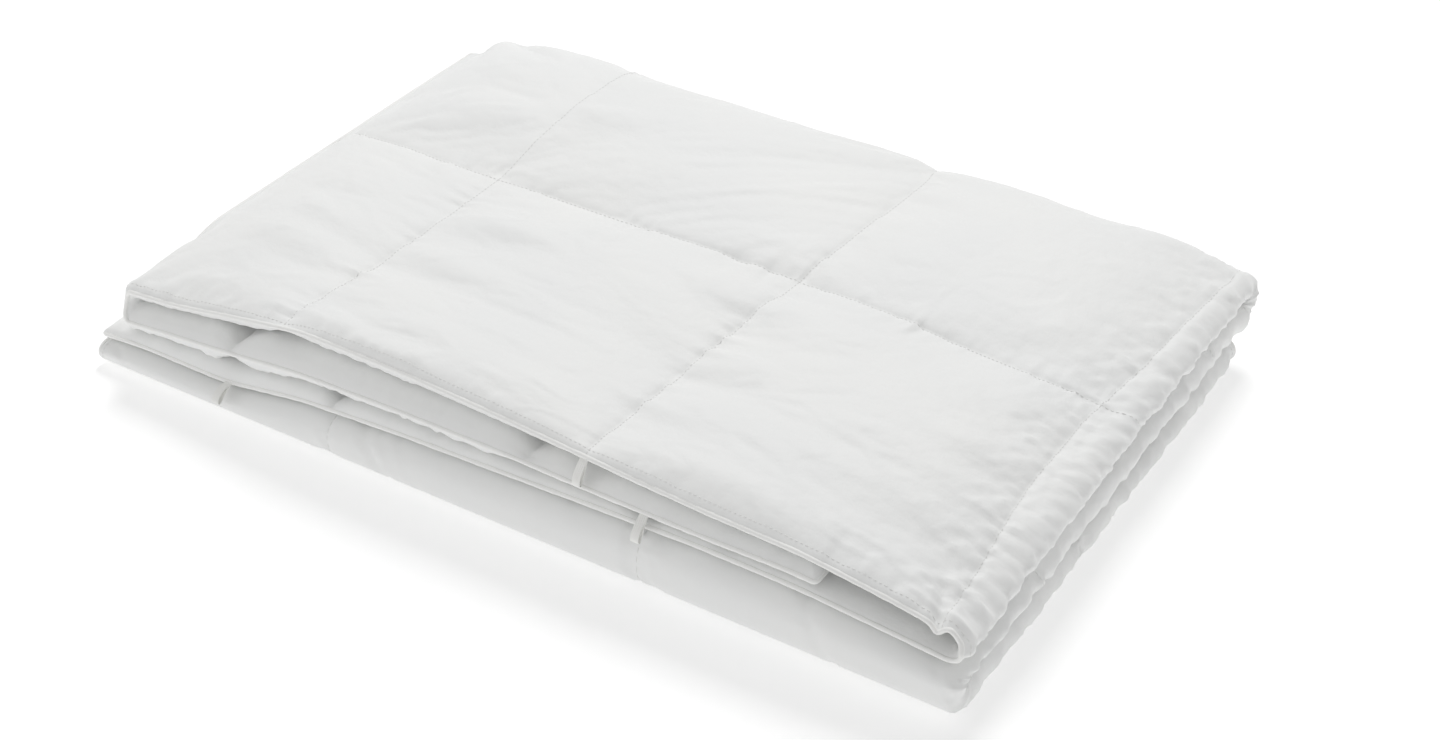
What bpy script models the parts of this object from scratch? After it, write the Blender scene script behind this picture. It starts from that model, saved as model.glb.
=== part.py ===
"""A quilted down duvet, folded up: three layers along its length, then three sections across its width.

The duvet is one long strip. u runs along its length, from the end of flap B, through layer A, to the end
of layer C. v runs across its width, from the hem on top at the front to the hem underneath at the back.
Each section holds B tucked under A at the left fold and C wrapped under both at the right fold.
x runs along the front edge, y to the back, z up, in metres.
"""

import math

import bmesh
import bpy
from mathutils import Matrix, Vector

# The duvet laid flat
DUVET_LENGTH = 1.940
DUVET_WIDTH = 1.350
CHAMBERS_LONG = 8
CHAMBER_LENGTH = 0.252  # the chambers at the two ends take what is left
EDGE_CHAMBER_WIDTH = 0.2625

# How it is folded
FLAP_LENGTH = 0.570  # flap B, measured to the left fold
FOLDED_LENGTH = 0.676
FOLDED_DEPTH = 0.473
HEM_SETBACK = 0.010  # the hems on top stand this far behind the front fold

# What it is made of
TOP_LAYER = 0.0115  # one layer of the section on top, which nothing presses
LOWER_LAYER = 0.0080  # one layer of the two sections below
PUFF = 0.0100  # how far a chamber on top rises above its seams
FULLNESS = ((0.0, 0.0), (0.15, 0.62), (0.5, 1.0), (0.85, 0.62), (1.0, 0.0))  # share across, share of the puff
TICKING = 0.0008
SEAM_HALF = 0.0040  # half the width of the groove at a quilting seam
PIPING_DIAMETER = 0.0040
LOOP_LENGTH = 0.0195
LOOP_HALF_WIDTH = 0.0040
TAPE_WIDTH = 0.0060
TAPE_THICKNESS = 0.0008
LOOP_TILT = math.radians(-60)  # how the loops at the front hang, from level
LOOP_STANDOFF = 0.0010  # how much further from the piping a loop starts when it hangs straight down
LOOP_FROM_CORNER = 0.122  # along the hem, from a corner of the duvet

CLEARANCE = 0.0003
PAD_SLACK = 0.0010  # between the down and the ticking that it lifts
FOLD_HOLLOW = 0.0020  # the radius that is left inside a fold across the width
FLAP_HOLLOW = 0.0010  # and inside the left fold
CORD_END_GAP = 0.0008  # where two lengths of piping meet, one of them bent
ARC_STEPS = 8  # straight pieces in a fold's half turn
EDGE = PIPING_DIAMETER / 2 + CLEARANCE  # where ticking stops at a piped edge
CORNER = PIPING_DIAMETER / 2  # how tightly the piping turns a corner of the duvet

BACK = FOLDED_DEPTH / 2
FRONT = -FOLDED_DEPTH / 2
HEM = FRONT + HEM_SETBACK
REAR_REACH = 3 * (TOP_LAYER + LOWER_LAYER) / 2  # how far the rear fold bulges past its sections
FRONT_REACH = 3 * LOWER_LAYER
REAR_LINE = BACK - REAR_REACH  # where the sections end and the rear fold begins
FRONT_LINE = FRONT + FRONT_REACH
REAR_ARC = math.pi * REAR_REACH / 2
FRONT_ARC = math.pi * FRONT_REACH / 2
LOWER_HEM = FRONT_LINE + DUVET_WIDTH - (REAR_LINE - HEM) - REAR_ARC - (REAR_LINE - FRONT_LINE) - FRONT_ARC
TOP_SEAM = HEM + EDGE_CHAMBER_WIDTH
TOP_ROWS = ((HEM, TOP_SEAM), (TOP_SEAM, REAR_LINE))
SEAM_INSET = SEAM_HALF + PAD_SLACK  # where the down stops short of a seam

FRONT_FOLD_HEIGHT = 3 * LOWER_LAYER
REAR_FOLD_HEIGHT = 6 * LOWER_LAYER
HINGE_SHARE = math.pi / 4  # a fold opens about the middle of its own arc length

COTTON = (0.93, 0.93, 0.925, 1)
DOWN = (0.97, 0.96, 0.93, 1)
CORD = (0.95, 0.95, 0.945, 1)


def clear_scene():
    for old in list(bpy.data.objects):
        bpy.data.objects.remove(old, do_unlink=True)


def material(name, colour, roughness):
    made = bpy.data.materials.new(name)
    made.use_nodes = True
    shader = made.node_tree.nodes["Principled BSDF"]
    shader.inputs["Base Color"].default_value = colour
    shader.inputs["Roughness"].default_value = roughness
    shader.inputs["Metallic"].default_value = 0.0
    return made


def pivot(name, y, z):
    empty = bpy.data.objects.new(name, None)
    bpy.context.collection.objects.link(empty)
    empty.location = (0, y, z)
    return empty


def place(name, shape, surface, holder=None):
    """Link a mesh or curve as a named object, under the empty on its joint's axis where it has one."""
    shape.materials.append(surface)
    made = bpy.data.objects.new(name, shape)
    bpy.context.collection.objects.link(made)
    if holder:
        shape.transform(Matrix.Translation(-holder.location))
        made.parent = holder
    return made


def loft(name, loops, surface, holder=None):
    """One closed solid through a row of closed loops with the same number of points.

    A loop runs along one face and back along the other, whose triangles are split the same way.
    """
    shape = bmesh.new()
    rows = [[shape.verts.new(point) for point in loop] for loop in loops]
    for row, following in zip(rows, rows[1:]):
        for i, corner in enumerate(row):
            j = (i + 1) % len(row)
            if i < len(row) // 2:
                shape.faces.new((corner, row[j], following[j]))
                shape.faces.new((corner, following[j], following[i]))
            else:
                shape.faces.new((corner, row[j], following[i]))
                shape.faces.new((row[j], following[j], following[i]))
    for row in (rows[0], rows[-1]):
        for i in range(len(row) // 2 - 1):
            shape.faces.new((row[i], row[i + 1], row[-2 - i]))
            shape.faces.new((row[i], row[-2 - i], row[-1 - i]))
    bmesh.ops.recalc_face_normals(shape, faces=shape.faces)
    mesh = bpy.data.meshes.new(name)
    shape.to_mesh(mesh)
    shape.free()
    return place(name, mesh, surface, holder)


def cord(name, points, surface, holder=None):
    """A round cord with closed ends along the given points."""
    curve = bpy.data.curves.new(name, "CURVE")
    curve.dimensions = "3D"
    curve.bevel_depth = PIPING_DIAMETER / 2
    curve.bevel_resolution = 2
    curve.use_fill_caps = True
    spline = curve.splines.new("POLY")
    spline.points.add(len(points) - 1)
    for slot, point in zip(spline.points, points):
        slot.co = (*point, 1)
    return place(name, curve, surface, holder)


def fullness(place, low, high):
    """How full a chamber between two seams stands at a place: nothing at the seams, 1 in the middle."""
    share = (place - low) / (high - low)
    for (a, empty), (b, full) in zip(FULLNESS, FULLNESS[1:]):
        if a <= share <= b:
            return empty + (full - empty) * (share - a) / (b - a)
    return 0.0


class Section:
    """Three layers of the duvet between two folds: B inside, A and C outside, seen along the strip."""

    def __init__(self, name, layer, base, flipped, holder=None, puffed=False):
        self.name = name
        self.layer = layer
        self.base = base
        self.flipped = flipped
        self.holder = holder
        self.puffed = puffed
        self.left = layer  # x of the left fold's centre
        self.right = FOLDED_LENGTH - 1.5 * layer
        self.left_arc = math.pi * layer / 2
        self.right_arc = math.pi * layer
        self.flap = FLAP_LENGTH - self.left_arc / 2
        self.a_start = self.flap + self.left_arc
        self.a_end = self.a_start + self.right - self.left
        self.c_start = self.a_end + self.right_arc
        self.outer = layer / 2 - CLEARANCE / 2
        self.inner = -layer / 2 + FLAP_HOLLOW

    def line(self, u):
        """The strip's middle line at u, as x, height in the section, and its outward normal."""
        t = self.layer
        if u < self.flap:
            return self.left + self.flap - u, 1.5 * t, 0.0, -1.0
        if u < self.a_start:
            turn = math.pi * (u - self.flap) / self.left_arc
            side, up = -math.sin(turn), -math.cos(turn)
            return self.left + 0.5 * t * side, 2 * t + 0.5 * t * up, side, up
        if u < self.a_end:
            return self.left + u - self.a_start, 2.5 * t, 0.0, 1.0
        if u < self.c_start:
            turn = math.pi * (u - self.a_end) / self.right_arc
            side, up = math.sin(turn), math.cos(turn)
            return self.right + t * side, 1.5 * t + t * up, side, up
        return self.right - (u - self.c_start), 0.5 * t, 0.0, -1.0

    def height(self, w):
        return self.base + (3 * self.layer - w if self.flipped else w)

    def seams(self):
        return [DUVET_LENGTH / 2 + CHAMBER_LENGTH * (i - CHAMBERS_LONG / 2) for i in range(1, CHAMBERS_LONG)]

    def top_columns(self):
        """The stretches of layer A between its seams, from the left fold to the last seam."""
        edges = [self.a_start] + [u for u in self.seams() if self.a_start < u < self.a_end]
        return list(zip(edges, edges[1:]))

    def knots(self, start, end):
        """Where the strip needs points between start and end: its arcs, seams and chamber middles."""
        marks = [self.flap, self.a_start, self.a_end, self.c_start]
        marks += [self.flap + self.left_arc * i / ARC_STEPS for i in range(1, ARC_STEPS)]
        marks += [self.a_end + self.right_arc * i / ARC_STEPS for i in range(1, ARC_STEPS)]
        if self.puffed:
            for low, high in self.top_columns():
                marks += [low + (high - low) * share for share, _ in FULLNESS[1:-1]]
                marks += [high - SEAM_HALF, high, high + SEAM_HALF]
        inside = sorted(mark for mark in marks if start < mark < end)
        return [start, *inside, end]

    def puff(self, u, y):
        """How far the down lifts the top layer at u and y."""
        if not self.puffed:
            return 0.0
        across = max(fullness(u, *column) for column in self.top_columns())
        along = max(fullness(y, *row) for row in TOP_ROWS)
        return PUFF * across * along

    def dip(self, u, y):
        """1 on a quilting seam of the top layer, where it is stitched down, and 0 off it."""
        if not self.puffed:
            return 0.0
        gaps = [abs(u - seam) for seam in self.seams() if self.a_start < seam < self.a_end]
        if self.a_start < u < self.a_end:
            gaps.append(abs(y - TOP_SEAM))
        return max(0.0, 1 - min(gaps) / SEAM_HALF)

    def point(self, u, y, offset):
        x, w, side, up = self.line(u)
        return x + side * offset, y, self.height(w + up * offset)

    def outline(self, y, start, end, low, high, lifted, stitched):
        """The closed outline, at one y, of what lies between two offsets from the strip's middle line."""
        near, far = [], []
        for u in self.knots(start, end):
            lift = self.puff(u, y) if lifted else 0.0
            drop = self.dip(u, y) * (high + lift - (self.inner + 2 * TICKING + CLEARANCE)) if stitched else 0.0
            far.append(self.point(u, y, high + lift - drop))
            near.append(self.point(u, y, low + (lift - drop if stitched else 0.0)))
        return far + near[::-1]


def rows_between(start, end):
    """The y of each row of points in the top section between start and end."""
    marks = [start, end, TOP_SEAM - SEAM_HALF, TOP_SEAM, TOP_SEAM + SEAM_HALF]
    for low, high in TOP_ROWS:
        marks += [low + (high - low) * share for share, _ in FULLNESS[1:-1]]
    return sorted(mark for mark in marks if start <= mark <= end)


def make_ticking(section, start, end, cotton):
    """The two covers, which the strip's folds turn into one long bent sheet each."""
    rows = rows_between(start, end) if section.puffed else [start, end]
    first, last = EDGE, DUVET_LENGTH - EDGE
    faces = {
        "upper_ticking": (section.outer - TICKING, section.outer, True),
        "lower_ticking": (section.inner, section.inner + TICKING, False),
    }
    for side, (low, high, stitched) in faces.items():
        loops = [section.outline(y, first, last, low, high, stitched, stitched) for y in rows]
        loft(f"{section.name}_{side}", loops, cotton, section.holder)


def make_down(section, stretches, down):
    """The down, one body for each chamber, in each stretch of the section between two lengthwise seams."""
    low = section.inner + TICKING + CLEARANCE
    high = section.outer - TICKING - (PAD_SLACK if section.puffed else CLEARANCE)
    edges = [0.0, *section.seams(), DUVET_LENGTH]
    for row, (start, end) in stretches.items():
        rows = rows_between(start, end) if section.puffed else [start, end]
        for i, (first, last) in enumerate(zip(edges, edges[1:])):
            held = (first + SEAM_INSET, last - SEAM_INSET)
            loops = [section.outline(y, *held, low, high, True, False) for y in rows]
            loft(f"{section.name}_down_{row}{i + 1}", loops, down, section.holder)


def hem_route(section, hem, inner_end):
    """The piping's route along both flap ends and the hem between them, through both long folds."""
    middle = (section.inner + section.outer) / 2
    towards = 1 if inner_end > hem else -1
    bends = [CORNER * (1 - math.sin(math.pi * i / 8)) for i in range(1, 4)]
    ins = [CORNER * (1 - math.cos(math.pi * i / 8)) for i in range(1, 4)]
    edge = [section.point(0, inner_end, middle), section.point(0, hem + towards * CORNER, middle)]
    edge += [section.point(near, hem + towards * far, middle) for near, far in zip(ins, bends)]
    along = [section.point(u, hem, middle) for u in section.knots(CORNER, DUVET_LENGTH - CORNER)]
    back = [section.point(DUVET_LENGTH - near, hem + towards * far, middle) for near, far in zip(bends, ins)]
    back += [section.point(DUVET_LENGTH, hem + towards * CORNER, middle)]
    return edge + along + back + [section.point(DUVET_LENGTH, inner_end, middle)]


def make_end_piping(section, start, end, piping):
    """The piping along the ends of layers B and C where a section has no hem."""
    middle = (section.inner + section.outer) / 2
    for layer, u in (("b", 0.0), ("c", DUVET_LENGTH)):
        points = [section.point(u, start, middle), section.point(u, end, middle)]
        cord(f"{section.name}_piping_{layer}_end", points, piping, section.holder)


def fold_point(x, turn, turns_out, fold, trim):
    """A point in a fold across the width, turns_out layers from its centre, at a turn from level."""
    line, height, direction, above, below = fold
    reach = turns_out * (above + below) / 2 + trim
    rise = turns_out * (above if turn > 0 else below) + trim
    return x, line + direction * reach * math.cos(turn), height + rise * math.sin(turn)


def make_fold(name, order, fold, ends, cotton, holder):
    """The three quilted layers round a fold across the width, the innermost first."""
    turns = [math.pi * (i / (2 * ARC_STEPS) - 0.5) for i in range(2 * ARC_STEPS + 1)]
    for i, layer in enumerate(order):
        loops = []
        for x in ends[layer]:
            far = [fold_point(x, turn, i + 1, fold, -CLEARANCE) for turn in turns]
            near = [fold_point(x, turn, i, fold, CLEARANCE if i else FOLD_HOLLOW) for turn in turns]
            loops.append(far + near[::-1])
        loft(f"{name}_{layer}", loops, cotton, holder)


def make_fold_piping(name, order, fold, ends, piping, holder):
    """The piping on the two flap ends, round the same fold."""
    for layer in ("b", "c"):
        middle = order.index(layer) + 0.5
        sweep = math.pi / 2 - CORD_END_GAP / (middle * min(fold[3:]))
        turns = [sweep * (2 * i / ARC_STEPS - 1) for i in range(ARC_STEPS + 1)]
        route = [fold_point(ends[layer], turn, middle, fold, 0.0) for turn in turns]
        cord(f"{name}_piping_{layer}", route, piping, holder)


def loop_outline():
    """A doubled tape's outline, from its sewn root: how far out, how far to the side."""
    half = TAPE_THICKNESS / 2
    side = ((0.0, 0.18), (0.14, 0.45), (0.32, 0.95), (0.55, 1.0), (0.78, 0.9), (0.93, 0.55), (1.0, 0.0))
    middle = [(LOOP_LENGTH * out, LOOP_HALF_WIDTH * wide) for out, wide in side]
    far, near = [], []
    for i, (out, wide) in enumerate(middle):
        before, after = middle[max(i - 1, 0)], middle[min(i + 1, len(middle) - 1)]
        run = Vector((after[0] - before[0], after[1] - before[1]))
        if i == len(middle) - 1:
            run = Vector((0, -1))
        normal = Vector((-run.y, run.x)).normalized() * half
        far.append((out + normal.x, wide + normal.y))
        near.append((out - normal.x, wide - normal.y))
    mirrored = lambda points: [(out, -wide) for out, wide in points[-2::-1]]
    return far + mirrored(far) + (near + mirrored(near))[::-1]


def make_tape_loop(name, x, root, tilt, direction, tape, holder=None):
    """A tape loop sewn to a hem: root is its y and z, and it points along direction, tilted from level."""
    out = Vector((0, direction * math.cos(tilt), math.sin(tilt)))
    side = Vector((0, -out.z, out.y))
    start = Vector((0, *root))
    loops = []
    for end in (x - TAPE_WIDTH / 2, x + TAPE_WIDTH / 2):
        loops.append([start + out * far + side * wide + Vector((end, 0, 0)) for far, wide in loop_outline()])
    return loft(name, loops, tape, holder)


def loop_places():
    return {"middle": DUVET_LENGTH / 2, "b_end": LOOP_FROM_CORNER, "c_end": DUVET_LENGTH - LOOP_FROM_CORNER}


def loop_start(tilt):
    """How far from the middle of the piping a loop's root lies, which a tilted root needs more of."""
    return EDGE + LOOP_STANDOFF * abs(math.sin(tilt))


def make_front_loops(section, tape):
    """The three loops of the upper hem. The middle one is under an empty at the stitches that it swings on."""
    for name, u in loop_places().items():
        x, _, z = section.point(u, HEM, 0)
        root = (HEM - loop_start(LOOP_TILT), z)
        holder = pivot("middle_loop_pivot", *root) if name == "middle" else section.holder
        make_tape_loop(f"loop_{name}", x, root, LOOP_TILT, -1, tape, holder)


def make_rear_loops(section, tape):
    """The three loops of the lower hem, which lie pinned under the rear fold."""
    tilts = {"middle": math.radians(-20), "b_end": 0.0, "c_end": math.radians(20)}
    for name, u in loop_places().items():
        x, _, z = section.point(u, LOWER_HEM, 0)
        root = (LOWER_HEM + loop_start(tilts[name]), z)
        make_tape_loop(f"lower_loop_{name}", x, root, tilts[name], 1, tape)


def stand_on_origin():
    """Move everything so that the origin is the middle of its footprint."""
    bpy.context.view_layer.update()
    corners = []
    for made in bpy.data.objects:
        if made.type != "EMPTY":
            corners += [made.matrix_world @ Vector(corner) for corner in made.bound_box]
    low = [min(corner[i] for corner in corners) for i in range(3)]
    high = [max(corner[i] for corner in corners) for i in range(3)]
    shift = Vector((-(low[0] + high[0]) / 2, -(low[1] + high[1]) / 2, -low[2]))
    for made in bpy.data.objects:
        if made.parent is None:
            made.location += shift
    bpy.context.view_layer.update()


clear_scene()
cotton = material("cotton_ticking", COTTON, 0.75)
down = material("down_filling", DOWN, 0.95)
piping = material("piping", CORD, 0.7)
tape = material("twill_tape", CORD, 0.8)

middle_pivot = pivot("front_fold_pivot", FRONT_LINE - HINGE_SHARE * FRONT_REACH, FRONT_FOLD_HEIGHT)
top_pivot = pivot("rear_fold_pivot", REAR_LINE + HINGE_SHARE * REAR_REACH, REAR_FOLD_HEIGHT)

bottom = Section("bottom", LOWER_LAYER, 0.0, False)
middle = Section("middle", LOWER_LAYER, 3 * LOWER_LAYER, True, middle_pivot)
top = Section("top", TOP_LAYER, 6 * LOWER_LAYER, False, top_pivot, puffed=True)

ticking_ends = {
    bottom: (FRONT_LINE + CLEARANCE, LOWER_HEM - EDGE),
    middle: (FRONT_LINE + CLEARANCE, REAR_LINE - CLEARANCE),
    top: (HEM + EDGE, REAR_LINE - CLEARANCE),
}
for section, (start, end) in ticking_ends.items():
    make_ticking(section, start, end, cotton)

make_down(bottom, {"": ticking_ends[bottom]}, down)
make_down(middle, {"": ticking_ends[middle]}, down)
top_rows = {
    "front_": (HEM + EDGE, TOP_SEAM - SEAM_INSET),
    "rear_": (TOP_SEAM + SEAM_INSET, REAR_LINE - CLEARANCE),
}
make_down(top, top_rows, down)

cord("top_piping", hem_route(top, HEM, REAR_LINE - CLEARANCE), piping, top_pivot)
cord("bottom_piping", hem_route(bottom, LOWER_HEM, FRONT_LINE + CLEARANCE), piping)
make_end_piping(middle, *ticking_ends[middle], piping)

rear_fold = (REAR_LINE, REAR_FOLD_HEIGHT, 1, TOP_LAYER, LOWER_LAYER)
front_fold = (FRONT_LINE, FRONT_FOLD_HEIGHT, -1, LOWER_LAYER, LOWER_LAYER)
flap_ends = {"b": bottom.point(0, 0, 0)[0], "c": bottom.point(DUVET_LENGTH, 0, 0)[0]}
layer_ends = {
    "a": (0.0, FOLDED_LENGTH),
    "b": (0.0, flap_ends["b"] - EDGE),
    "c": (flap_ends["c"] + EDGE, FOLDED_LENGTH),
}
make_fold("rear_fold", "cba", rear_fold, layer_ends, cotton, middle_pivot)
make_fold("front_fold", "abc", front_fold, layer_ends, cotton, None)
make_fold_piping("rear_fold", "cba", rear_fold, flap_ends, piping, middle_pivot)
make_fold_piping("front_fold", "abc", front_fold, flap_ends, piping, None)

make_front_loops(top, tape)
make_rear_loops(bottom, tape)
stand_on_origin()
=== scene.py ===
"""A quilted down duvet, folded up, as it looks: covers, stitches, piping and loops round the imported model.

The duvet is one long strip. u runs along its length, from the end of flap B, through layer A, to the end of
layer C. v runs across its width, from the hem on top at the front, round the two crosswise folds, to the hem
underneath at the back.
"""

import math

import bpy
import numpy as np
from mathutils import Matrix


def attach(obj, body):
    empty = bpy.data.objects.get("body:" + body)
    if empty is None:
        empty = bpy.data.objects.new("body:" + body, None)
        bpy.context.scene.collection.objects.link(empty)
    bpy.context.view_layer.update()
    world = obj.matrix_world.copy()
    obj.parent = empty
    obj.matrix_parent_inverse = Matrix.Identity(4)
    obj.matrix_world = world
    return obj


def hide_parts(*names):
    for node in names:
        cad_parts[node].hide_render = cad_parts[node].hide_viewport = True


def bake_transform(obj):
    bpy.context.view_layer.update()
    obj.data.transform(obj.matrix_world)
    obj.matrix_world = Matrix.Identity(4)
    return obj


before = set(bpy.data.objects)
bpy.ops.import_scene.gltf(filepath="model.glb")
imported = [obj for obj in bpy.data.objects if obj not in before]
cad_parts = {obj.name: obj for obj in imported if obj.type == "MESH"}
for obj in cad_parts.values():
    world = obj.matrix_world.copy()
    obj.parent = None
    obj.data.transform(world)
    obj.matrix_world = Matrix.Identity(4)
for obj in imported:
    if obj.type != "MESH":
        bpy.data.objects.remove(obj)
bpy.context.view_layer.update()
bpy.ops.object.select_all(action="DESELECT")


# The studio: a sheet of white paper under the duvet, one big soft light high behind it, and a weak one
# from the front left. The camera has a fairly long lens, and looks down from above the front right corner.
def linear(code):
    """An sRGB hex colour as linear light."""
    parts = [int(code[i : i + 2], 16) / 255 for i in (0, 2, 4)]
    return [c / 12.92 if c <= 0.04045 else ((c + 0.055) / 1.055) ** 2.4 for c in parts] + [1.0]


def add(tree, kind, inputs, **settings):
    """One node with its settings; an input is a value, or another node's output to link."""
    made = tree.nodes.new(kind)
    for name, value in settings.items():
        setattr(made, name, value)
    for name, value in inputs.items():
        if isinstance(value, bpy.types.NodeSocket):
            tree.links.new(value, made.inputs[name])
        else:
            made.inputs[name].default_value = value
    return made


def finish(name, **values):
    """A new material with these values on its shader; its node tree and the shader come with it."""
    made = bpy.data.materials.new(name)
    made.use_nodes = True
    shader = made.node_tree.nodes["Principled BSDF"]
    for socket, value in values.items():
        shader.inputs[socket.replace("_", " ")].default_value = value
    return made, made.node_tree, shader


LENS, SENSOR = 56.25, 36
CAMERA_AT = (0.7358, -1.1070, 0.9510)
CAMERA_DOWN, CAMERA_TURN = math.radians(35.97), math.radians(32.30)
bpy.ops.object.camera_add(location=CAMERA_AT, rotation=(math.pi / 2 - CAMERA_DOWN, 0, CAMERA_TURN))
camera = bpy.context.object
camera.data.lens = LENS
camera.data.sensor_width = SENSOR
bpy.context.scene.camera = camera

PAPER_SIZE, PAPER_TOP = 14, -0.0006
PAPER_GLOW = 0.26  # keeps the paper pure white where the soft lights don't reach
ROOM_LIGHT = 0.49
bpy.ops.mesh.primitive_plane_add(size=PAPER_SIZE, location=(0, 0, PAPER_TOP))
floor = bpy.context.object
floor.name = "studio_paper"
paper, _, _ = finish("matt_white_paper", Base_Color=linear("ffffff"), Roughness=0.9,
                     Emission_Color=linear("ffffff"), Emission_Strength=PAPER_GLOW)
floor.data.materials.append(paper)

for name, place, size, power, turn in (
    ("key_softbox", (-1.0, 2.7, 3.6), 1.8, 94, (math.radians(-36), math.radians(-15.5), 0)),
    ("fill_softbox", (-1.8, -1.6, 1.7), 2.4, 9, (math.radians(52), math.radians(-38), 0)),
):
    bpy.ops.object.light_add(type="AREA", location=place, rotation=turn)
    bpy.context.object.name = name
    bpy.context.object.data.size = size
    bpy.context.object.data.energy = power
world = bpy.data.worlds.new("studio")
bpy.context.scene.world = world
world.use_nodes = True
sky = world.node_tree.nodes["Background"]
sky.inputs["Color"].default_value = linear("ffffff")
sky.inputs["Strength"].default_value = ROOM_LIGHT
bpy.context.scene.view_settings.view_transform = "Standard"

# The quilt: two covers of down-proof cotton, stitched together straight through along a grid of seams, with
# down in each chamber. It is folded in three along its length, and then in three across its width. Each third
# of the width is a piece that keeps its shape, and the cloth round each fold between them is one that bends.
LENGTH, WIDTH = 1.940, 1.350
CHAMBER, CHAMBERS = 0.252, 8  # the pitch of the seams along the duvet, and how many chambers it makes
COLUMN_SEAMS = [LENGTH / 2 + CHAMBER * (i - CHAMBERS / 2) for i in range(1, CHAMBERS)]
ROW_SEAMS = (0.2625, 0.5375, 0.8125, 1.0875)
FLAP, FOLDED = 0.570, 0.676  # the length of flap B, and of the folded stack
TOP, LOWER = 0.0115, 0.0080  # the thickness of a layer on top, and in the sections below it
FRONT, BACK = -0.2365, 0.2365
HEM = FRONT + 0.010  # the upper hem lies a little behind the front fold
FRONT_REACH, REAR_REACH = 3 * LOWER, 1.5 * (TOP + LOWER)
FRONT_LINE, REAR_LINE = FRONT + FRONT_REACH, BACK - REAR_REACH
FRONT_ARC, REAR_ARC = math.pi * FRONT_REACH / 2, math.pi * REAR_REACH / 2
TOP_END = REAR_LINE - HEM
MIDDLE_START = TOP_END + REAR_ARC
MIDDLE_END = MIDDLE_START + REAR_LINE - FRONT_LINE
BOTTOM_START = MIDDLE_END + FRONT_ARC
FRONT_AXIS, REAR_AXIS = 3 * LOWER, 6 * LOWER
A_START = FLAP + math.pi * TOP / 4
A_END = A_START + FOLDED - 2.5 * TOP
SHIFT = np.array((-0.32758, 0.002417, -0.00015))  # from the stack's left end to the middle of its footprint


def smooth(t):
    """0 below 0, 1 above 1, and a soft step between."""
    t = np.clip(t, 0, 1)
    return t * t * (3 - 2 * t)


def strip_line(u, t):
    """The strip's middle line at u in layers t thick: x, height, and its outward normal, along x and up."""
    right = FOLDED - 1.5 * t
    flap, a_start = FLAP - math.pi * t / 4, FLAP + math.pi * t / 4
    a_end = a_start + right - t
    c_start = a_end + math.pi * t
    left_turn = np.pi * (u - flap) / (a_start - flap)
    right_turn = np.pi * (u - a_end) / (c_start - a_end)
    where = [u < flap, u < a_start, u < a_end, u < c_start]
    x = [flap + t - u, t - t / 2 * np.sin(left_turn), t + u - a_start, right + t * np.sin(right_turn)]
    w = [1.5 * t, 2 * t - t / 2 * np.cos(left_turn), 2.5 * t, 1.5 * t + t * np.cos(right_turn)]
    side = [0 * u, -np.sin(left_turn), 0 * u, np.sin(right_turn)]
    up = [0 * u - 1, -np.cos(left_turn), 0 * u + 1, np.cos(right_turn)]
    return (np.select(where, x, right - (u - c_start)), np.select(where, w, t / 2),
            np.select(where, side, 0), np.select(where, up, -1))


# how high the hems stand along the front edge: x, then the heights of C, B and A
HEM_X = np.array((-0.02, 0.02, 0.056, 0.10, 0.168, 0.255, 0.338, 0.416, 0.49, 0.56, 0.63, 0.68))
HEM_C = np.array((22, 26, 26, 26, 38, 44, 47.5, 51, 53.5, 53, 48, 44)) / 1000
HEM_B = np.array((40, 44, 48, 52, 60, 63, 64, 63, 62.5, 64, 56, 51)) / 1000
HEM_A = np.array((64, 66, 69, 77, 88, 89, 86, 82.5, 79, 77, 68, 58)) / 1000
HEM_BACK = np.array((5, 6, 7, 8, 9, 8, 7, 5, 4, 4, 4, 4)) / 1000
# heights in the flat stack: the ground, the middle of the front fold, its top, and the middles of C, B and A
LEVELS = (0.0, 0.024, 0.048, 0.05375, 0.06525, 0.07675)
DIP, CLIMB = 0.0100, 0.0262  # height of the middle of the front fold at the left end, and how it rises with x
LIFT_REACH = 0.12  # how far behind the front fold its sag and lift fade out
END_SAG, REAR_SAG = 0.010, 0.004  # how much lower the stack lies at its two ends, and along its back
TIP = 0.652  # where the hem is tucked in, before it turns under at the right
TUCK, TUCK_WIDTH = 0.0045, 0.0038  # the depth and half width of the tuck there


def along_front(x, values):
    """A smooth curve through the values at HEM_X."""
    fine = np.linspace(-0.05, 0.71, 305)
    rough = np.interp(fine, HEM_X, values)
    bell = np.exp(-np.linspace(-2.2, 2.2, 25) ** 2)
    ends = np.concatenate((np.full(12, rough[0]), rough, np.full(12, rough[-1])))
    return np.interp(x, fine, np.convolve(ends, bell / bell.sum(), "valid"))


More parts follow.
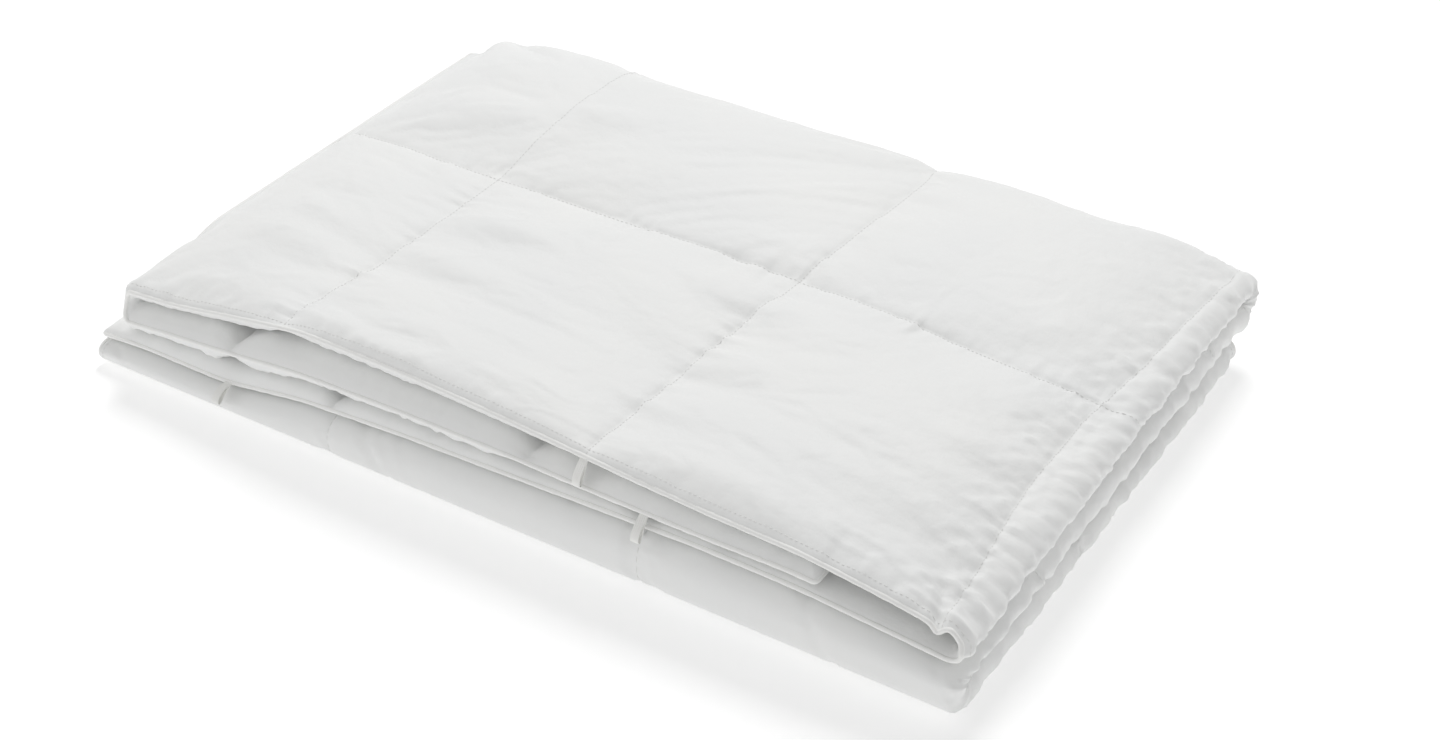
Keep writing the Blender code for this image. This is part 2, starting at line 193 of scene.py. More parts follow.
def settle(x, y, z):
    """How the stack sags: its thin left end, its lifted front hems and its rounded edges."""
    hem_c = along_front(x, HEM_C)
    marks = [0 * x, DIP + CLIMB * x, hem_c - 0.005, hem_c, along_front(x, HEM_B), along_front(x, HEM_A)]
    front_z = marks[5] + (z - LEVELS[5])
    for i in range(4, -1, -1):
        part = marks[i] + (z - LEVELS[i]) / (LEVELS[i + 1] - LEVELS[i]) * (marks[i + 1] - marks[i])
        front_z = np.where(z < LEVELS[i + 1], part, front_z)
    near = 1 - smooth((y - FRONT_LINE) / LIFT_REACH)
    drop = END_SAG * (1 - smooth(x / 0.075)) + END_SAG * smooth((x - FOLDED + 0.085) / 0.085)
    drop = drop + REAR_SAG * smooth((y - 0.12) / 0.1)
    rear_z = z - drop * np.maximum(0, z - REAR_AXIS) / (3 * TOP)
    back = along_front(x, HEM_BACK) * smooth((z - 0.0655) / 0.008) * (1 - smooth((y - HEM) / 0.05))
    beside = x - TIP + 0.35 * (y - HEM)
    tuck = TUCK * np.exp(-((beside / TUCK_WIDTH) ** 2)) - 0.0028 * np.exp(-(((beside - 0.009) / 0.005) ** 2))
    tuck = tuck * smooth((z - 0.064) / 0.010) * (1 - smooth((y - HEM - 0.008) / 0.045))
    return y + back, rear_z + near * (front_z - rear_z) - tuck


def drifted(u, v):
    """Where on the strip the cloth at u, v has ended up: the seams on top don't run quite straight."""
    on_a = smooth((u - A_START + 0.04) / 0.06) * (1 - smooth((u - A_END) / 0.06))
    bow = np.interp(u - A_START + TOP, (0.005, 0.095, 0.187, 0.402, 0.526, 0.611, 0.649),
                    (0.006, 0.013, 0.011, 0.010, 0.018, 0.024, 0.022))
    bow = bow * smooth(v / ROW_SEAMS[0]) * (1 - smooth((v - ROW_SEAMS[0]) / 0.17))
    lean = 0.018 * smooth((v - 0.1) / 0.33) * smooth(1 - np.abs(u - COLUMN_SEAMS[3]) / 0.24)
    sway = np.interp(v, (0, 0.04, 0.15, 0.24, 0.31, 0.43), (0, -0.002, -0.010, -0.010, -0.002, 0.006))
    lean = lean + sway * smooth(1 - np.abs(u - COLUMN_SEAMS[4]) / 0.15)
    return u + lean * (1 - smooth((v - 0.42) / 0.08)), v - bow * on_a


LEAST_TURN = 0.0015  # the tightest radius that cloth turns at inside a fold


def folded(u, v, off):
    """Where a point of the quilt lies in the folded stack, off from the strip's middle line."""
    u, v = drifted(u, v)
    rear = np.clip((v - TOP_END) / REAR_ARC, 0, 1)
    front = np.clip((v - MIDDLE_END) / FRONT_ARC, 0, 1)
    x, w, side, up = strip_line(u, TOP + (LOWER - TOP) * smooth(rear))
    x, w = x + side * off, np.maximum(w + up * off, LEAST_TURN)
    rear_turn, front_turn = np.pi * (1 - rear), np.pi * (1 - front)
    inner = np.maximum(FRONT_REACH - w, LEAST_TURN)
    y = HEM + np.minimum(v, TOP_END) - np.clip(v - MIDDLE_START, 0, MIDDLE_END - MIDDLE_START)
    y = y + np.maximum(v - BOTTOM_START, 0)
    y = np.where(v < MIDDLE_END, y + w * np.sin(rear_turn), y - inner * np.sin(front_turn) ** 0.8)
    z_front = FRONT_AXIS - inner * np.sign(np.cos(front_turn)) * np.abs(np.cos(front_turn)) ** 0.8
    z = np.where(v < MIDDLE_END, REAR_AXIS - w * np.cos(rear_turn), z_front)
    y, z = settle(x, y, z)
    place = np.stack((x, y, z), -1) + SHIFT
    place[..., 2] = np.maximum(place[..., 2], 0.0)
    return place


def ripples(p, q, size_p, size_q, seed, count=24):
    """A soft random surface of height about 1, with bumps size_p and size_q apart."""
    draw = np.random.default_rng(seed)
    total = 0 * p
    for fp, fq, phase in zip(draw.normal(0, 1, count), draw.normal(0, 1, count), draw.uniform(0, 6.3, count)):
        total = total + np.cos(2 * np.pi * (p * fp / size_p + q * fq / size_q) + phase)
    return total * math.sqrt(2 / count)


def creases(p, q, size_p, size_q, seed):
    """Thin raised folds of cloth that wander along the longer of the two sizes, from 0 to 1."""
    return np.maximum(0, 1 - 1.6 * np.abs(ripples(p, q, size_p, size_q, seed))) ** 1.5


def seam_gaps(u, v):
    """How far to the nearest seam across the duvet, of which one is pressed flat at the back, and along it."""
    pressed = 0.03 * smooth((v - ROW_SEAMS[0] - 0.01) / 0.03) * (1 - smooth((v - TOP_END) / 0.05))
    across = [np.abs(u - seam) + pressed * (i == 2) for i, seam in enumerate(COLUMN_SEAMS)]
    return np.min(across, axis=0), np.min([np.abs(v - seam) for seam in ROW_SEAMS], axis=0)


GROOVE = 0.003  # the half width of the groove that the stitches pull in


def fullness(u, v, reach):
    """0 at a seam, rising to 1 at reach from it, with a crisp groove along the stitches."""
    total = 1.0
    for gap in seam_gaps(u, v):
        total = total * (0.2 - 0.2 * np.exp(-gap / GROOVE) + 0.8 - 0.8 * (1 - np.clip(gap / reach, 0, 1)) ** 2)
    return total


def rim(u, v, reach):
    """0 at a piped edge, rising steeply to 1 at reach from it."""
    edge = np.minimum(np.minimum(u, LENGTH - u), np.minimum(v, WIDTH - v))
    return np.sqrt(1 - (1 - np.clip(edge / reach, 0, 1)) ** 2)


def pucker(far, along, across, seed):
    """The puckers beside one line of stitches, in metres: short folds across it, that come and go along it."""
    patch = 0.3 + 0.7 * smooth(0.5 + 0.6 * ripples(along, 0 * along, 0.10, 1, seed + 50, 8))
    fine = 0.0007 * np.exp(-far / 0.010) * ripples(along, across, 0.012, 0.07, seed)
    broad = 0.0007 * np.exp(-far / 0.024) * ripples(along, across, 0.028, 0.12, seed + 25)
    return patch * (fine + broad)


def gathers(u, v):
    """All the puckers of the quilt: at its seams, and stronger at its hems and ends."""
    total = 0 * u
    for i, seam in enumerate(ROW_SEAMS):
        total += pucker(np.abs(v - seam), u, v, 100 + i)
    for i, seam in enumerate(COLUMN_SEAMS):
        total += pucker(np.abs(u - seam), v, u, 110 + i)
    for i, (far, along, across) in enumerate(((v, u, v), (WIDTH - v, u, v), (u, v, u), (LENGTH - u, v, u))):
        total += 1.5 * (1 - np.exp(-far / 0.002)) * pucker(far, along, across, 120 + i)
    return total


def on_top(u, v):
    """1 on the upper side of the stack, where nothing presses the down, and 0 elsewhere."""
    on_a = smooth((u - A_START) / 0.05) * (1 - smooth((u - A_END + 0.03) / 0.04))
    return on_a * (1 - smooth((v - TOP_END + 0.03) / 0.06))


def ruffled(u, v):
    """1 along the right-hand fold, where the spare cotton bunches up, and 0 elsewhere."""
    return smooth((u - 1.165) / 0.05) * (1 - smooth((u - A_END - 0.018) / 0.030))


PRESSED_PUFF, FREE_PUFF = 0.028, 0.075  # how far from a seam the puffs reach their height, below and on top
PRESSED_RIM, FREE_RIM, INNER_RIM = 0.011, 0.034, 0.020  # and how far from a piped edge
CROWN = 0.0042  # how much further the puffs stand up on top
COVER_GAP, LEAST_GAP = 0.0009, 0.0007  # from the middle of the quilt to a cover at a seam, and at the least


def cover(u, v):
    """How far the outer cover and the inner cover stand from the middle of the quilt."""
    t = TOP + (LOWER - TOP) * smooth((v - TOP_END) / REAR_ARC)
    free = on_top(u, v)
    face = smooth((v - MIDDLE_END + 0.015) / 0.015) * (1 - smooth((v - BOTTOM_START) / 0.015))
    full = fullness(u, v, PRESSED_PUFF) * (1 - free) + fullness(u, v, FREE_PUFF) * free
    full = full * (1 - 0.45 * smooth((u - COLUMN_SEAMS[4]) / 0.01) * (1 - smooth((u - A_END - 0.04) / 0.03)))
    edge = rim(u, v, PRESSED_RIM) * (1 - free) + rim(u, v, FREE_RIM) * free
    out = COVER_GAP + (t / 2 - 0.0011 + CROWN * free) * full * edge
    soft = 0.0012 * ripples(u, v, 0.20, 0.075, 5) + 0.0009 * creases(u, v, 0.16, 0.075, 6) * full
    soft = soft * (0.35 + 0.65 * free)
    bunched = 0.0008 * ripples(u, v, 0.032, 0.022, 7) + 0.0012 * creases(u + 0.5 * v, v, 0.045, 0.020, 8)
    drape = 0.0010 * ripples(u + v, v, 0.036, 0.10, 9) + 0.0012 * creases(u + 1.3 * v, v, 0.055, 0.12, 10)
    out = out + (gathers(u, v) + soft + ruffled(u, v) * bunched + face * drape) * np.minimum(1, edge * 1.2)
    inner = COVER_GAP + (t / 2 - 0.0013) * fullness(u, v, PRESSED_PUFF) * rim(u, v, INNER_RIM)
    return np.maximum(out, LEAST_GAP), np.maximum(inner + 0.3 * gathers(u, v), LEAST_GAP)


RELAXED_FROM, RELAXED_TO = 0.550, 1.262  # the part of the strip that lies on top, with a little of each fold
SEWN = 0.0016  # cotton nearer than this to a seam is held by its stitches
SPARE = 0.075  # how much too long the cotton is where it is eased the most
CLOTH_STEPS = 20
MOST_MOVE = 0.010  # the furthest that the cotton may move as it relaxes


def relaxed(u, v, points):
    """The upper cover of layer A after the cotton has relaxed: a little too much cloth, stitched down at the
    seams, pushed up by the down and free to crumple in between."""
    first, last = np.searchsorted(u[:, 0], (RELAXED_FROM, RELAXED_TO))
    u, v, part = u[first:last], v[first:last], points[first:last]
    rows, columns = part.shape[:2]
    mesh = bpy.data.meshes.new("relaxing_cotton")
    mesh.from_pydata(part.reshape(-1, 3).tolist(), [], grid_faces(rows, columns).tolist())
    sheet = bpy.data.objects.new("relaxing_cotton", mesh)
    bpy.context.collection.objects.link(sheet)
    across, along = seam_gaps(u, v)
    sewn = (across < SEWN) | (along < SEWN)
    sewn[[0, -1], :] = True
    sewn[:, [0, -1]] = True
    hold = np.where(sewn, 1.0, 0.02).ravel()
    spare = 0.25 + 0.45 * np.exp(-np.minimum(np.minimum(across, along), v) / 0.022)
    spare = np.minimum(1, spare + 0.35 * ruffled(u, v))
    held, eased = sheet.vertex_groups.new(name="held"), sheet.vertex_groups.new(name="eased")
    for i, (grip, ease) in enumerate(zip(hold.tolist(), spare.ravel().tolist())):
        held.add((i,), grip, "REPLACE")
        eased.add((i,), ease, "REPLACE")
    cloth = sheet.modifiers.new("cloth", "CLOTH")
    for setting, value in (("quality", 6), ("mass", 0.05), ("tension_stiffness", 20),
                           ("compression_stiffness", 20), ("shear_stiffness", 6), ("bending_stiffness", 0.012),
                           ("air_damping", 3), ("vertex_group_mass", "held"), ("pin_stiffness", 1.0),
                           ("vertex_group_shrink", "eased"), ("shrink_min", 0.0), ("shrink_max", -SPARE),
                           ("use_pressure", True), ("uniform_pressure_force", 3.0)):
        setattr(cloth.settings, setting, value)
    cloth.settings.effector_weights.gravity = 0
    cloth.collision_settings.use_collision = False
    for frame_number in range(1, CLOTH_STEPS + 1):
        bpy.context.scene.frame_set(frame_number)
    bpy.context.view_layer.objects.active = sheet
    bpy.ops.object.modifier_apply(modifier="cloth")
    bpy.context.scene.frame_set(1)
    flat = np.empty(rows * columns * 3, np.float32)
    sheet.data.vertices.foreach_get("co", flat)
    bpy.data.objects.remove(sheet)
    move = flat.reshape(part.shape) - part
    far = np.linalg.norm(move, axis=-1, keepdims=True)
    points[first:last] = part + move * np.minimum(1, MOST_MOVE / np.maximum(far, 1e-9))
    return points


SEAM_STEP = 0.0011  # how close the points of the quilt come to each other at a line of stitches


def graded(marks, steps, seams=()):
    """Places along a line, as far apart as steps say at the marks, and closer at each line of stitches."""
    fine = np.linspace(marks[0], marks[-1], 8000)
    step = np.interp(fine, marks, steps)
    for seam in seams:
        step = np.minimum(step, SEAM_STEP + 0.25 * np.abs(fine - seam))
    count = np.concatenate(([0], np.cumsum((1 / step[1:] + 1 / step[:-1]) / 2 * np.diff(fine))))
    return np.interp(np.linspace(0, count[-1], math.ceil(count[-1]) + 1), count, fine)


def grid_faces(rows, columns):
    """The quads of a grid of points, by row and column."""
    index = np.arange(rows * columns).reshape(rows, columns)
    return np.stack((index[:-1, :-1], index[1:, :-1], index[1:, 1:], index[:-1, 1:]), -1).reshape(-1, 4)


def meshed(name, points, faces, material, flat=None):
    """A smooth object from points and faces; flat gives each point's place on the unfolded cloth, in metres."""
    mesh = bpy.data.meshes.new(name)
    mesh.from_pydata(np.asarray(points).tolist(), [], faces.tolist() if hasattr(faces, "tolist") else faces)
    mesh.shade_smooth()
    if flat is not None:
        layer = mesh.uv_layers.new(name="UVMap")
        corners = np.empty(len(mesh.loops), np.int32)
        mesh.loops.foreach_get("vertex_index", corners)
        layer.data.foreach_set("uv", flat[corners].astype(np.float32).ravel())
    mesh.materials.append(material)
    made = bpy.data.objects.new(name, mesh)
    bpy.context.collection.objects.link(made)
    return made


def covers(u, v, relax=False):
    """The outer and the inner cover over the grid of places u by v, with those places."""
    uu, vv = np.meshgrid(u, v, indexing="ij")
    out, inner = cover(uu, vv)
    upper = folded(uu, vv, out)
    if relax:
        upper = relaxed(uu, vv, upper)
    return u, v, upper, folded(uu, vv, -inner)


def share(whole, first, last):
    """The part of two covers between two places on v that they both have."""
    u, v, upper, lower = whole
    i, j = np.searchsorted(v, (first - 1e-9, last - 1e-9))
    return u, v[i : j + 1], upper[:, i : j + 1], lower[:, i : j + 1]


def quilted(name, part, fill, *nodes):
    """A closed padded body between the two covers of a part, in place of its CAD nodes."""
    u, v, upper, lower = part
    rows, columns = upper.shape[:2]
    index, far = np.arange(rows * columns).reshape(rows, columns), rows * columns
    quads = grid_faces(rows, columns)
    ring = np.concatenate((index[:, 0], index[-1, 1:], index[-2::-1, -1], index[0, -2:0:-1]))
    after = np.roll(ring, -1)
    walls = np.stack((after, ring, ring + far, after + far), -1)
    flat = np.stack(np.meshgrid(u, v, indexing="ij"), -1).reshape(-1, 2)
    made = meshed(name, np.concatenate((upper.reshape(-1, 3), lower.reshape(-1, 3))),
                  np.concatenate((quads, quads[:, ::-1] + far, walls)), cotton, np.concatenate((flat, flat)))
    ends = np.empty(len(made.data.edges) * 2, np.int32)
    made.data.edges.foreach_get("vertices", ends)
    ends = ends.reshape(-1, 2)
    rimmed = np.isin(ends % far, ring).all(axis=1) & (ends // far == ends[:, ::-1] // far).all(axis=1)
    made.data.attributes.new("sharp_edge", "BOOLEAN", "EDGE").data.foreach_set("value", rimmed)
    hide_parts(*nodes)
    return made


# down-proof cotton cambric: dense, fine and smooth, with a slight satin sheen from its calendering; its
# threads are 0.2 mm apart, too fine to show, and are drawn five times as coarse
THREAD_PITCH = 0.0011
cotton, tree, shader = finish("downproof_cotton_cambric", Roughness=0.58, Specular_IOR_Level=0.35,
                              Sheen_Weight=0.18, Sheen_Roughness=0.45)
places = add(tree, "ShaderNodeUVMap", {}, uv_map="UVMap").outputs[0]
cloud = add(tree, "ShaderNodeTexNoise", {"Vector": places, "Scale": 9.0, "Detail": 4.0, "Roughness": 0.55})
shade = add(tree, "ShaderNodeValToRGB", {"Fac": cloud.outputs["Fac"]})
shade.color_ramp.elements[0].color = linear("f1f2f2")
shade.color_ramp.elements[1].color = linear("f8f8f6")
tree.links.new(shade.outputs["Color"], shader.inputs["Base Color"])
scaled = add(tree, "ShaderNodeMapping", {"Vector": places, "Scale": (1 / THREAD_PITCH, 1 / THREAD_PITCH, 1)})
waves = [add(tree, "ShaderNodeTexWave", {"Vector": scaled.outputs[0], "Scale": 0.5}, bands_direction=side)
         for side in "XY"]
threads = add(tree, "ShaderNodeMath", {i: wave.outputs["Fac"] for i, wave in enumerate(waves)},
              operation="MAXIMUM")
crinkle = add(tree, "ShaderNodeTexNoise", {"Vector": places, "Scale": 85.0, "Detail": 3.0, "Roughness": 0.5})
fine = add(tree, "ShaderNodeBump", {"Height": threads.outputs[0], "Strength": 0.10, "Distance": 0.0002})
rumpled = add(tree, "ShaderNodeBump", {"Height": crinkle.outputs["Fac"], "Strength": 0.35, "Distance": 0.0022,
                                       "Normal": fine.outputs[0]})
tree.links.new(rumpled.outputs[0], shader.inputs["Normal"])

# the grid of points is closest at the hems, round the folds and at the seams
u_places = graded((0, 0.012, 0.03, 0.53, 0.56, 0.60, 1.19, 1.21, 1.27, 1.30, 1.91, 1.928, LENGTH),
                  (0.0018, 0.002, 0.0038, 0.0038, 0.002, 0.003, 0.003,
                   0.0022, 0.0022, 0.004, 0.004, 0.002, 0.0018), COLUMN_SEAMS)
top_v = graded((0, 0.012, 0.05, TOP_END), (0.0016, 0.002, 0.0032, 0.0032), ROW_SEAMS[:1])
rear_v = np.linspace(TOP_END, MIDDLE_START, 37)  # an odd count, so that a row of points lies on the fold
middle_v = graded((MIDDLE_START, MIDDLE_START + 0.02, MIDDLE_END - 0.02, MIDDLE_END),
                  (0.002, 0.0048, 0.0048, 0.002), ROW_SEAMS)
front_v = np.linspace(MIDDLE_END, BOTTOM_START, 33)
bottom_v = graded((BOTTOM_START, BOTTOM_START + 0.02, WIDTH - 0.02, WIDTH),
                  (0.002, 0.006, 0.006, 0.002), ROW_SEAMS)


top_covers = covers(u_places, np.concatenate((top_v[:-1], rear_v)), relax=True)
top_part, rear_part = share(top_covers, 0, TOP_END), share(top_covers, TOP_END, MIDDLE_START)
lower_covers = covers(u_places, np.concatenate((middle_v[:-1], front_v[:-1], bottom_v)))
middle_part = share(lower_covers, MIDDLE_START, MIDDLE_END)
front_part = share(lower_covers, MIDDLE_END, BOTTOM_START)
bottom_part = share(lower_covers, BOTTOM_START, WIDTH)

top_quilt = quilted("top_quilt", top_part, 0.45, "top_upper_ticking", "top_lower_ticking",
                    *[f"top_down_{row}_{i}" for row in ("front", "rear") for i in range(1, CHAMBERS + 1)])
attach(top_quilt, "top_section")
rear_quilt = quilted("rear_fold_quilt", rear_part, 0.4, *[f"rear_fold_{layer}" for layer in "abc"])
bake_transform(rear_quilt)
middle_quilt = quilted("middle_quilt", middle_part, 0.35, "middle_upper_ticking", "middle_lower_ticking",
                       *[f"middle_down_{i}" for i in range(1, CHAMBERS + 1)])
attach(middle_quilt, "middle_section")
front_quilt = quilted("front_fold_quilt", front_part, 0.35, *[f"front_fold_{layer}" for layer in "abc"])
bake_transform(front_quilt)
bottom_quilt = quilted("bottom_quilt", bottom_part, 0.35, "bottom_upper_ticking", "bottom_lower_ticking",
                       *[f"bottom_down_{i}" for i in range(1, CHAMBERS + 1)])
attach(bottom_quilt, "bottom_section")

# The stitches: lockstitch in white spun thread, sunk between the puffs along every seam, and one line of it
# beside the piping all round.
STITCH_PITCH, STITCH = 0.0036, 0.0027
THREAD_RADIUS = 0.00028
HEM_STITCH = 0.0042  # from the piping to its line of stitches
SIDES = 5
RISE = 0.00012  # how far a stitch stands up in the middle, and sinks at its ends
NUDGE = 0.0004  # how far off a neighbouring place on the cover is, from which its slope is found

thread, tree, shader = finish("spun_sewing_thread", Base_Color=linear("eeeeec"), Roughness=0.6,
                              Sheen_Weight=0.1)
spots = add(tree, "ShaderNodeTexCoord", {}).outputs["Object"]
twist = add(tree, "ShaderNodeTexNoise", {"Vector": spots, "Scale": 2600.0, "Detail": 1.0})
bump = add(tree, "ShaderNodeBump", {"Height": twist.outputs["Fac"], "Strength": 0.3, "Distance": 0.0001})
tree.links.new(bump.outputs[0], shader.inputs["Normal"])


def on_cover(part, u, v):
    """Points of a part's outer cover at the places u, v."""
    us, vs, points, _ = part
    i = np.clip(np.searchsorted(us, u) - 1, 0, len(us) - 2)
    j = np.clip(np.searchsorted(vs, v) - 1, 0, len(vs) - 2)
    p = ((u - us[i]) / (us[i + 1] - us[i]))[..., None]
    q = ((v - vs[j]) / (vs[j + 1] - vs[j]))[..., None]
    near = (1 - p) * points[i, j] + p * points[i + 1, j]
    return (1 - q) * near + q * ((1 - p) * points[i, j + 1] + p * points[i + 1, j + 1])


def stitched(name, part):
    """The stitches on a part's outer cover: each a short bead of thread that dips in at its two ends."""
    low, high = part[1][0], part[1][-1]
    lines = [(None, seam) for seam in (*ROW_SEAMS, HEM_STITCH, WIDTH - HEM_STITCH) if low < seam < high]
    lines += [(seam, None) for seam in (*COLUMN_SEAMS, HEM_STITCH, LENGTH - HEM_STITCH)]
    middles = []
    for u, v in lines:
        run = np.arange(*((low, high) if v is None else (0, LENGTH)), STITCH_PITCH) + STITCH_PITCH / 2
        step = np.stack((0 * run, 0 * run + 1) if v is None else (0 * run + 1, 0 * run), -1)
        middle = np.stack((0 * run + u, run) if v is None else (run, 0 * run + v), -1)
        middles.append(np.concatenate((middle, step), -1))
    middles = np.concatenate(middles)
    rings = []
    for place, lift, size in ((-0.5, -RISE, 0.4), (-0.2, RISE, 1.0), (0.2, RISE, 1.0), (0.5, -RISE, 0.4)):
        u, v = (middles[:, :2] + place * STITCH * middles[:, 2:]).T
        here = on_cover(part, u, v)
        ahead = on_cover(part, u + NUDGE * middles[:, 2], v + NUDGE * middles[:, 3]) - here
        aside = on_cover(part, u - NUDGE * middles[:, 3], v + NUDGE * middles[:, 2]) - here
        outward = np.cross(ahead, aside)
        outward /= np.linalg.norm(outward, axis=1)[:, None] + 1e-12
        aside /= np.linalg.norm(aside, axis=1)[:, None] + 1e-12
        turns = np.linspace(0, 2 * np.pi, SIDES, endpoint=False)[:, None, None]
        ring = np.cos(turns) * aside + np.sin(turns) * outward
        rings.append(here + lift * outward + THREAD_RADIUS * size * ring)
    points = np.stack(rings).transpose(2, 0, 1, 3)
    count = len(rings)
    first = (np.arange(len(middles)) * count * SIDES)[:, None, None]
    bead = [(i * SIDES + j, i * SIDES + (j + 1) % SIDES, (i + 1) * SIDES + (j + 1) % SIDES, (i + 1) * SIDES + j)
            for i in range(count - 1) for j in range(SIDES)]
    sides = (first + np.array(bead)).reshape(-1, 4).tolist()
    caps = first + np.array([range(SIDES)[::-1], range((count - 1) * SIDES, count * SIDES)])
    points = points.reshape(-1, 3)
    points[:, 2] = np.maximum(points[:, 2], 0.0)
    made = meshed(name, points, sides + caps.reshape(-1, SIDES).tolist(), thread)
    return made


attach(stitched("top_stitches", top_part), "top_section")
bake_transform(stitched("rear_fold_stitches", rear_part))
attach(stitched("middle_stitches", middle_part), "middle_section")
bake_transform(stitched("front_fold_stitches", front_part))
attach(stitched("bottom_stitches", bottom_part), "bottom_section")

# The piping: a cotton cord in a bias strip, sewn into the hem all round the duvet. Each third has its own
# lengths of it, and so has each fold, where it bends with the cloth at the ends of layers B and C.
PIPING_RADIUS = 0.0017
BEND = 0.003  # how tightly it turns a corner of the duvet
CORD_SIDES = 10
TOP_STEP, LOWER_STEP = 0.006, 0.008  # between its points up the ends of the layers

bias, tree, shader = finish("cotton_bias_piping", Base_Color=linear("f6f6f4"), Roughness=0.55,
                            Sheen_Weight=0.15)
spots = add(tree, "ShaderNodeTexCoord", {}).outputs["Object"]
knobs = add(tree, "ShaderNodeTexNoise", {"Vector": spots, "Scale": 420.0, "Detail": 2.0})
bump = add(tree, "ShaderNodeBump", {"Height": knobs.outputs["Fac"], "Strength": 0.4, "Distance": 0.0004})
tree.links.new(bump.outputs[0], shader.inputs["Normal"])


def tube(name, u, v):
    """A round cord with closed ends along the hem through the places u, v, a little uneven as cloth is."""
    route = folded(u, v, 0 * u)
    ahead = np.gradient(route, axis=0)
    ahead /= np.linalg.norm(ahead, axis=1)[:, None]
    run = np.concatenate(([0], np.cumsum(np.linalg.norm(np.diff(route, axis=0), axis=1))))
    radii = PIPING_RADIUS * (1 + 0.05 * ripples(run, 0 * run, 0.012, 1, 31, 12))
    turns = np.linspace(0, 2 * np.pi, CORD_SIDES, endpoint=False)[:, None]
    normal = np.cross(ahead[0], (0.3, 0.2, 1.0))
    rings = []
    for here, towards, radius in zip(route, ahead, radii):
        normal = normal - towards * (normal @ towards)
        normal /= np.linalg.norm(normal)
        rings.append(here + radius * (np.cos(turns) * normal + np.sin(turns) * np.cross(towards, normal)))
    points = np.concatenate(rings)
    points[:, 2] = np.maximum(points[:, 2], 0.0)
    index = np.arange(len(points)).reshape(-1, CORD_SIDES)
    quads = np.stack((index[:-1], np.roll(index, -1, 1)[:-1], np.roll(index, -1, 1)[1:], index[1:]), -1)
    faces = quads.reshape(-1, 4).tolist() + [index[0][::-1].tolist(), index[-1].tolist()]
    made = meshed(name, points, faces, bias)
    return made


def hemmed(side_v, edge_v, inward):
    """Places down flap B's end, round its corner, along a hem, round the other corner and up layer C's end."""
    quarter = np.linspace(0, np.pi / 2, 6)[1:-1]
    turn_u, turn_v = BEND * (1 - np.cos(quarter)), edge_v + inward * BEND * (1 - np.sin(quarter))
    hem_u = graded((BEND, 0.53, 0.55, 0.60, 0.62, 1.18, 1.20, 1.26, 1.28, LENGTH - BEND),
                   (0.004, 0.004, 0.0015, 0.0015, 0.003, 0.003, 0.0015, 0.0015, 0.004, 0.004))
    u = np.concatenate((0 * side_v, turn_u, hem_u, LENGTH - turn_u[::-1], 0 * side_v + LENGTH))
    return u, np.concatenate((side_v, turn_v, 0 * hem_u + edge_v, turn_v[::-1], side_v[::-1]))


top_run = graded((BEND, TOP_END), (TOP_STEP, TOP_STEP))[::-1]
middle_run = graded((MIDDLE_START, MIDDLE_END), (LOWER_STEP, LOWER_STEP))
bottom_run = graded((BOTTOM_START, WIDTH - BEND), (LOWER_STEP, LOWER_STEP))
top_cord = tube("top_piping_cord", *hemmed(top_run, 0.0, 1))
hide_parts("top_piping")
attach(top_cord, "top_section")
for layer, place in (("b", 0.0), ("c", LENGTH)):
    rear_cord = tube(f"rear_fold_piping_cord_{layer}", 0 * rear_v + place, rear_v)
    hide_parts(f"rear_fold_piping_{layer}")
    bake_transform(rear_cord)
    middle_cord = tube(f"middle_piping_cord_{layer}", 0 * middle_run + place, middle_run)
    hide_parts(f"middle_piping_{layer}_end")
    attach(middle_cord, "middle_section")
    front_cord = tube(f"front_fold_piping_cord_{layer}", 0 * front_v + place, front_v)
    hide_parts(f"front_fold_piping_{layer}")
    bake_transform(front_cord)
bottom_cord = tube("bottom_piping_cord", *hemmed(bottom_run, WIDTH, -1))
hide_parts("bottom_piping")
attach(bottom_cord, "bottom_section")

# The loops: short lengths of cotton twill tape, doubled and caught in the hem, for a duvet cover's ties. Those
# of the upper hem hang over the hems below, and those of the lower hem lie out at the back.
LOOP_FROM_CORNER = 0.122
LOOP_LENGTH, LOOP_OPENING = 0.0195, 0.0024
TAPE_WIDTH, TAPE_THICKNESS = 0.0062, 0.0007
TAPE_SIDES, TAPE_STEPS = 12, 48
MIDDLE_STEPS = 60  # along the line midway between the loop's two runs of tape
RIB_PITCH = 0.0009  # twill ribs are 0.4 mm apart, and are drawn twice as coarse

tape, tree, shader = finish("cotton_twill_tape", Base_Color=linear("f5f5f2"), Roughness=0.68, Sheen_Weight=0.2)
places = add(tree, "ShaderNodeUVMap", {}, uv_map="UVMap").outputs[0]
scaled = add(tree, "ShaderNodeMapping", {"Vector": places, "Scale": (1 / RIB_PITCH, 1 / RIB_PITCH, 1)})
ribs = add(tree, "ShaderNodeTexWave", {"Vector": scaled.outputs[0], "Scale": 0.35}, bands_direction="DIAGONAL")
bump = add(tree, "ShaderNodeBump", {"Height": ribs.outputs["Fac"], "Strength": 0.5, "Distance": 0.0002})
tree.links.new(bump.outputs[0], shader.inputs["Normal"])


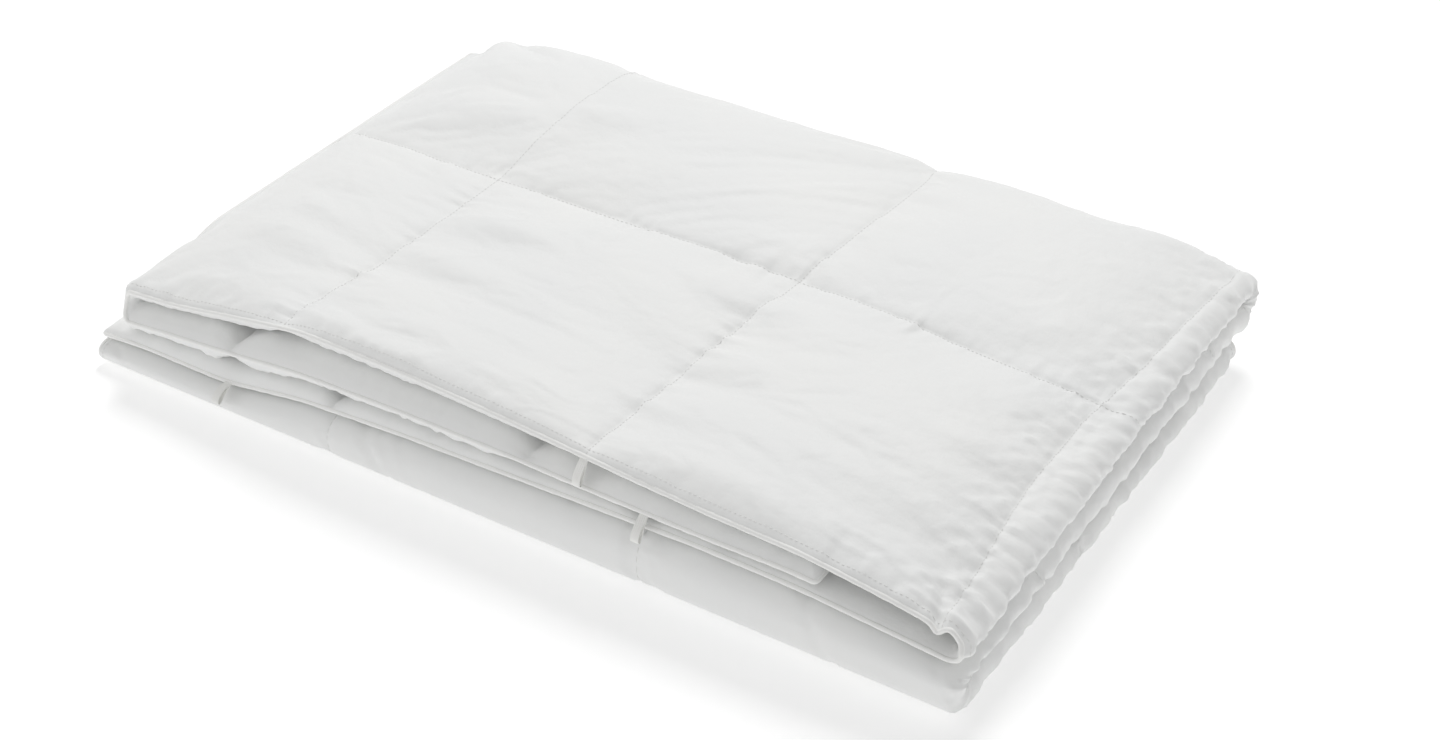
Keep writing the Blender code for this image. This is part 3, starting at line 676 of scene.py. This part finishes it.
def taped(name, node, u, v, angles):
    """A loop of tape from the hem at u, v; its middle line turns from the first angle to the second, and it
    replaces its CAD node."""
    root = folded(np.array([u]), np.array([v]), np.array([0.0]))[0]
    outward = -1 if v == 0 else 1
    run = np.linspace(0, 1, MIDDLE_STEPS + 1)
    turn = np.radians(angles[0] + (angles[1] - angles[0]) * run)
    steps = np.stack((outward * np.cos(turn), np.sin(turn)), -1) * LOOP_LENGTH / MIDDLE_STEPS
    middle = np.cumsum(steps, axis=0) - steps[0]
    s = np.linspace(0, 1, TAPE_STEPS + 1)
    out = np.sin(np.pi * s)
    half = LOOP_OPENING * np.sin(2 * np.pi * s) * np.sqrt(out + 1e-9)
    lean = np.interp(out, run, turn)
    path = np.stack([np.interp(out, run, middle[:, k]) for k in (0, 1)], -1)
    path += half[:, None] * np.stack((-outward * np.sin(lean), np.cos(lean)), -1) * outward
    tangent = np.gradient(path, axis=0)
    tangent /= np.linalg.norm(tangent, axis=1)[:, None]
    normal = np.stack((-tangent[:, 1], tangent[:, 0]), -1)
    around = np.linspace(0, 2 * np.pi, TAPE_SIDES, endpoint=False)
    wide = TAPE_WIDTH / 2 * np.sign(np.cos(around)) * np.abs(np.cos(around)) ** 0.4
    thick = TAPE_THICKNESS / 2 * np.sign(np.sin(around)) * np.abs(np.sin(around)) ** 0.6
    yz = path[:, None] + thick[None, :, None] * normal[:, None]
    points = np.concatenate((np.broadcast_to(wide[None, :, None], (len(s), TAPE_SIDES, 1)), yz), -1) + root
    points[..., 2] = np.maximum(points[..., 2], 0.0)
    length = np.concatenate(([0], np.cumsum(np.linalg.norm(np.diff(path, axis=0), axis=1))))
    flat = np.stack(np.broadcast_arrays(length[:, None], wide[None]), -1)
    index = np.arange(len(s) * TAPE_SIDES).reshape(-1, TAPE_SIDES)
    quads = np.stack((index[:-1], np.roll(index, -1, 1)[:-1], np.roll(index, -1, 1)[1:], index[1:]), -1)
    faces = quads.reshape(-1, 4).tolist() + [index[0][::-1].tolist(), index[-1].tolist()]
    made = meshed(name, points.reshape(-1, 3), faces, tape, flat.reshape(-1, 2))
    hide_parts(node)
    return made, root, points[len(s) // 2].mean(axis=0)


for end, u, lower_angles, upper_angles in (
    ("b_end", LOOP_FROM_CORNER, (0, 0), (-35, -70)),
    ("middle", LENGTH / 2, (-20, -20), (-40, -75)),
    ("c_end", LENGTH - LOOP_FROM_CORNER, (20, 5), (8, -62)),
):
    loop, _, _ = taped(f"lower_tape_loop_{end}", f"lower_loop_{end}", u, WIDTH, lower_angles)
    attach(loop, "bottom_section")
    loop, root, tip = taped(f"upper_tape_loop_{end}", f"loop_{end}", u, 0.0, upper_angles)
    if end == "middle":
        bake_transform(loop)
    else:
        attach(loop, "top_section")
